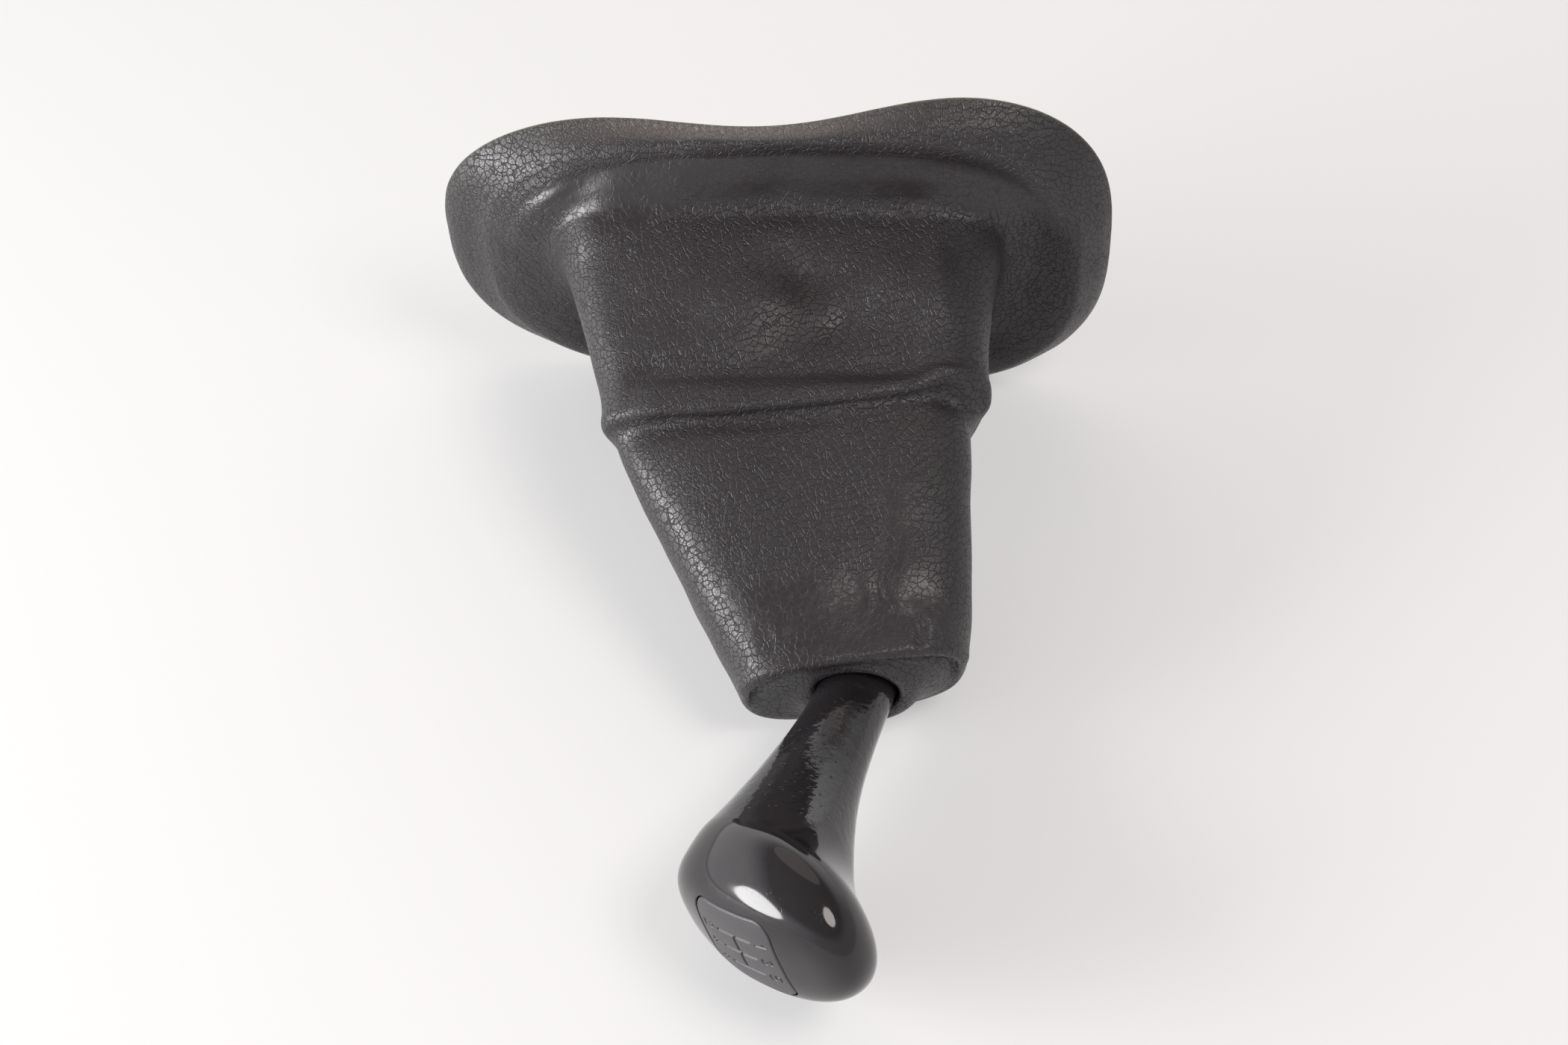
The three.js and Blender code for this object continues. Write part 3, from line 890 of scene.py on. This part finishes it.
def make_knob(rings, dome, finish):
    body = in_head(rings[:DOME_FROM].reshape(-1, 3)).reshape(DOME_FROM, KNOB_AROUND, 3)
    rim = body[-1]
    angle = np.arctan2(rim[:, 1], rim[:, 0])
    outer = np.hypot(rim[:, 0], rim[:, 1])
    inner = rounded_square_reach(angle, CAP_HALF, CAP_CORNER)
    across = np.stack([np.cos(angle), np.sin(angle)], 1)
    rows = [body]

    def ring(reach, drop):
        flat = across * reach[:, None]
        return np.dstack([flat[:, 0], flat[:, 1], dome.height(flat[:, 0], flat[:, 1]) - drop])

    edge = inner + POCKET_EDGE
    for t in np.arange(1, DOME_STEPS + 1) / DOME_STEPS:
        rows.append(ring(outer + (edge - outer) * t, 0))
    for t in np.arange(1, POCKET_EDGE_STEPS + 1) / POCKET_EDGE_STEPS * math.pi / 2:
        rows.append(ring(edge - POCKET_EDGE * math.sin(t), POCKET_EDGE * (1 - math.cos(t))))
    floor = np.dstack([across[:, 0] * inner, across[:, 1] * inner, np.full(KNOB_AROUND, -CAP_DEPTH)])
    rows.append((floor + rows[-1]) / 2)
    rows.append(floor)
    points = to_world(np.concatenate([row.reshape(-1, 3) for row in rows]), head_frame)
    faces = loft_faces(len(points) // KNOB_AROUND, KNOB_AROUND)
    made = mesh_object("knob_body", points, faces, finish)
    sharp = made.data.attributes.new("sharp_face", "BOOLEAN", "FACE")
    sharp.data[0].value = True
    sharp.data[len(made.data.polygons) - 1].value = True
    along = to_local(points, knob_frame)[:, 2]
    set_attribute(made.data, "neck", 1 - smoothstep(*NECK_ENDS, along))
    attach(made, "root")
    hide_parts("knob")


# The shift pattern: gates joined by a bar, with a figure at the end of each, in millimetres. A
# stroke is given by half its width, and by how far its wall slopes to each side of that.
GATES = 3
GATE_PITCH = 6.1
GATE_REACH = 5.9
GROOVE = 0.45
GROOVE_DEPTH = 0.55
GROOVE_SLOPE = 0.15
FIGURE_STROKE = 0.3
FIGURE_DEPTH = 0.4
FIGURE_SLOPE = 0.12
FIGURE_TALL = 3.5
FIGURE_AT = 9.9
ARC_STEP = 18


def arc(x, y, radius, start, stop):
    """Points of an arc, its angles in degrees."""
    count = max(3, int(abs(stop - start) / ARC_STEP))
    turns = np.radians(np.linspace(start, stop, count))
    return [(x + radius * math.cos(t), y + radius * math.sin(t)) for t in turns]


# Each figure as strokes, in a box one unit tall that is centred on nought.
FIGURES = {
    "1": [[(-0.16, 0.3), (0.06, 0.5), (0.06, -0.5)]],
    "2": [[*arc(0, 0.23, 0.27, 165, -35), (-0.28, -0.5), (0.3, -0.5)]],
    "3": [arc(0, 0.25, 0.25, 150, -90), arc(0, -0.25, 0.25, 90, -150)],
    "4": [[(0.12, -0.5), (0.12, 0.5), (-0.3, -0.2), (0.3, -0.2)]],
    "5": [[(0.26, 0.5), (-0.2, 0.5), (-0.24, 0.06), *arc(0, -0.2, 0.3, 120, -140)]],
    "R": [
        [(-0.24, -0.5), (-0.24, 0.5), *arc(0.02, 0.26, 0.24, 90, -90), (-0.24, 0.02)],
        [(0.02, 0.02), (0.28, -0.5)],
    ],
}
# Each figure's end of a gate, and which gate it stands at.
PLACES = {"1": (1, 1), "3": (1, 0), "5": (1, -1), "2": (-1, 1), "4": (-1, 0), "R": (-1, -1)}


def cut(x, y, strokes, width, slope):
    """1 in the strokes and 0 beside them."""
    return 1 - smoothstep(width - slope, width + slope, from_strokes(x, y, strokes))


def pattern_depth(x, y):
    """How deep the shift pattern is cut at each point. The figures' tops are to the car's front, +X."""
    side = (GATES - 1) / 2 * GATE_PITCH
    grooves = [[(0, -side), (0, side)]]
    for gate in np.linspace(-side, side, GATES):
        grooves.append([(-GATE_REACH, gate), (GATE_REACH, gate)])
    figures = []
    for name, (row, gate) in PLACES.items():
        at_x = row * FIGURE_AT
        at_y = gate * GATE_PITCH
        for stroke in FIGURES[name]:
            figures.append([(at_x + v * FIGURE_TALL, at_y - u * FIGURE_TALL) for u, v in stroke])
    groove = cut(x, y, grooves, GROOVE, GROOVE_SLOPE)
    figure = cut(x, y, figures, FIGURE_STROKE, FIGURE_SLOPE)
    return np.maximum(groove * GROOVE_DEPTH, figure * FIGURE_DEPTH)


def make_cap(dome, finish):
    half = CAP_HALF - CAP_GAP
    corner = CAP_CORNER - CAP_GAP
    inset = half - corner
    line = np.linspace(-half, half, CAP_GRID)
    x, y = np.meshgrid(line, line)
    u = np.clip((abs(x) - inset) / corner, 0, 1)
    v = np.clip((abs(y) - inset) / corner, 0, 1)
    # The grid's corners are drawn in to those of the rounded square.
    in_corner = (abs(x) > inset) & (abs(y) > inset)
    x = np.where(in_corner, np.sign(x) * (inset + corner * u * np.sqrt(1 - v * v / 2)), x)
    y = np.where(in_corner, np.sign(y) * (inset + corner * v * np.sqrt(1 - u * u / 2)), y)
    reach = rounded_square_reach(np.arctan2(y, x), half, corner)
    from_edge = np.clip(reach - np.hypot(x, y), 0, CAP_EDGE)
    drop = CAP_EDGE - np.sqrt(CAP_EDGE**2 - (CAP_EDGE - from_edge) ** 2)
    z = dome.height(x, y) - drop - pattern_depth(x, y)
    top = np.dstack([x, y, z]).reshape(-1, 3)
    index = np.arange(CAP_GRID * CAP_GRID).reshape(CAP_GRID, CAP_GRID)
    faces = np.stack([index[:-1, :-1], index[:-1, 1:], index[1:, 1:], index[1:, :-1]], 2)
    border = np.concatenate([index[0, :-1], index[:-1, -1], index[-1, :0:-1], index[:0:-1, 0]])
    foot = top[border].copy()
    foot[:, 2] = CAP_GAP - CAP_DEPTH
    below = np.arange(len(border)) + len(top)
    skirt = np.stack([np.roll(border, -1), border, below, np.roll(below, -1)], 1)
    faces = faces.reshape(-1, 4).tolist() + skirt.tolist() + [below[::-1].tolist()]
    points = np.concatenate([top, foot])
    made = mesh_object("cap", to_world(points, head_frame), faces, finish)
    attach(made, "root")
    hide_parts("shift_pattern_cap")


# The table: its colour, the light of its own that the camera and the gloss see, and its size in
# metres. It stands a hair below the part.
FLOOR_COLOUR = (0.83, 0.825, 0.825)
FLOOR_ROUGHNESS = 0.6
FLOOR_OWN_COLOUR = (0.94, 0.935, 0.935)
FLOOR_OWN_SHARE = 0.38
FLOOR_HALF = 8.0
FLOOR_BELOW = 0.05 * MM


def make_floor():
    """A pale table whose shadows the camera sees softened, as on a photographer's white sweep."""
    finish, tree, shader = material("floor")
    shader.inputs["Base Color"].default_value = (*FLOOR_COLOUR, 1)
    shader.inputs["Roughness"].default_value = FLOOR_ROUGHNESS
    ray = add(tree, "ShaderNodeLightPath").outputs
    seen = maths(tree, "ADD", ray["Is Camera Ray"], ray["Is Glossy Ray"], clamp=True)
    own = add(tree, "ShaderNodeEmission", {"Color": (*FLOOR_OWN_COLOUR, 1), "Strength": 1.0})
    share = times(tree, seen, FLOOR_OWN_SHARE)
    mixed = add(tree, "ShaderNodeMixShader", {0: share, 1: shader.outputs[0], 2: own.outputs[0]})
    tree.links.new(mixed.outputs[0], tree.nodes["Material Output"].inputs["Surface"])
    corners = np.array([(-1, -1, 0), (1, -1, 0), (1, 1, 0), (-1, 1, 0)]) * FLOOR_HALF
    floor = mesh_object("floor", corners, [(0, 1, 2, 3)], finish)
    floor.location.z = cad_low.z - FLOOR_BELOW


# The oval lamps, in metres and watts: name, place, size both ways, power and colour.
LAMPS = [
    ("key", (-1.22, -0.33, 0.39), (0.86, 0.6), 21, (1, 1, 1)),
    ("front", (0.62, -0.44, 1.25), (0.62, 0.62), 7.5, (1, 0.93, 0.9)),
    ("back", (0.05, 0.95, 1.35), (1.6, 1.0), 3, (1, 0.84, 0.76)),
]
LAMPS_AIM = Vector((0, 0, 0.05))

# The room: its brighter side, how dim the other side is, how bright the walls and all the rest
# are, and where the walls end, as the Z of a view of length 1.
ROOM_BRIGHT_SIDE = (-0.75, 0.66, 0)
ROOM_SIDES = (-0.4, 0.6)
ROOM_DIM_SHARE = 0.25
ROOM_LOW = 1.5
ROOM_HIGH = 0.22
ROOM_WALL_TOP = (0.38, 0.62)


def area_light(name, at, size, power, colour):
    data = bpy.data.lights.new(name, "AREA")
    data.shape = "ELLIPSE"
    data.size, data.size_y = size
    data.energy = power
    data.color = colour
    lamp = bpy.data.objects.new(name, data)
    lamp.location = at
    lamp.rotation_euler = (LAMPS_AIM - Vector(at)).to_track_quat("-Z", "Y").to_euler()
    bpy.context.scene.collection.objects.link(lamp)


def make_room():
    """A dim room above pale walls, which are brighter at the left and behind."""
    world = bpy.data.worlds.new("world")
    world.use_nodes = True
    tree = world.node_tree
    shader = tree.nodes["Background"]
    shader.inputs["Color"].default_value = (1, 1, 1, 1)
    facing = add(tree, "ShaderNodeTexCoord").outputs["Generated"]
    rise = add(tree, "ShaderNodeSeparateXYZ", {0: facing}).outputs["Z"]
    dot = add(tree, "ShaderNodeVectorMath", {0: facing, 1: ROOM_BRIGHT_SIDE}, operation="DOT_PRODUCT")
    side = spread(tree, dot.outputs["Value"], *ROOM_SIDES, ROOM_DIM_SHARE, 1)
    wall = times(tree, side, spread(tree, rise, *ROOM_WALL_TOP, ROOM_LOW, 0))
    tree.links.new(plus(tree, wall, ROOM_HIGH), shader.inputs["Strength"])
    bpy.context.scene.world = world
    bpy.context.scene.view_settings.view_transform = "Standard"


def finish_node(name, finish):
    """Gives its material to a CAD node that is shown as it is."""
    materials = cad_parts[name].data.materials
    materials.clear()
    materials.append(finish)


make_camera()
make_floor()
for lamp in LAMPS:
    area_light(*lamp)
make_room()
make_gaiter(gaiter_material())
knob = knob_rings()
head_dome = Dome(knob)
make_knob(knob, head_dome, knob_material())
make_cap(head_dome, cap_material())
finish_node("lever_sleeve", plain_material("sleeve_rubber", (0.02, 0.02, 0.02), 0.7, 0.85))
finish_node("collar_clip", plain_material("clip_nylon", (0.03, 0.03, 0.032), 0.4, 0.55))
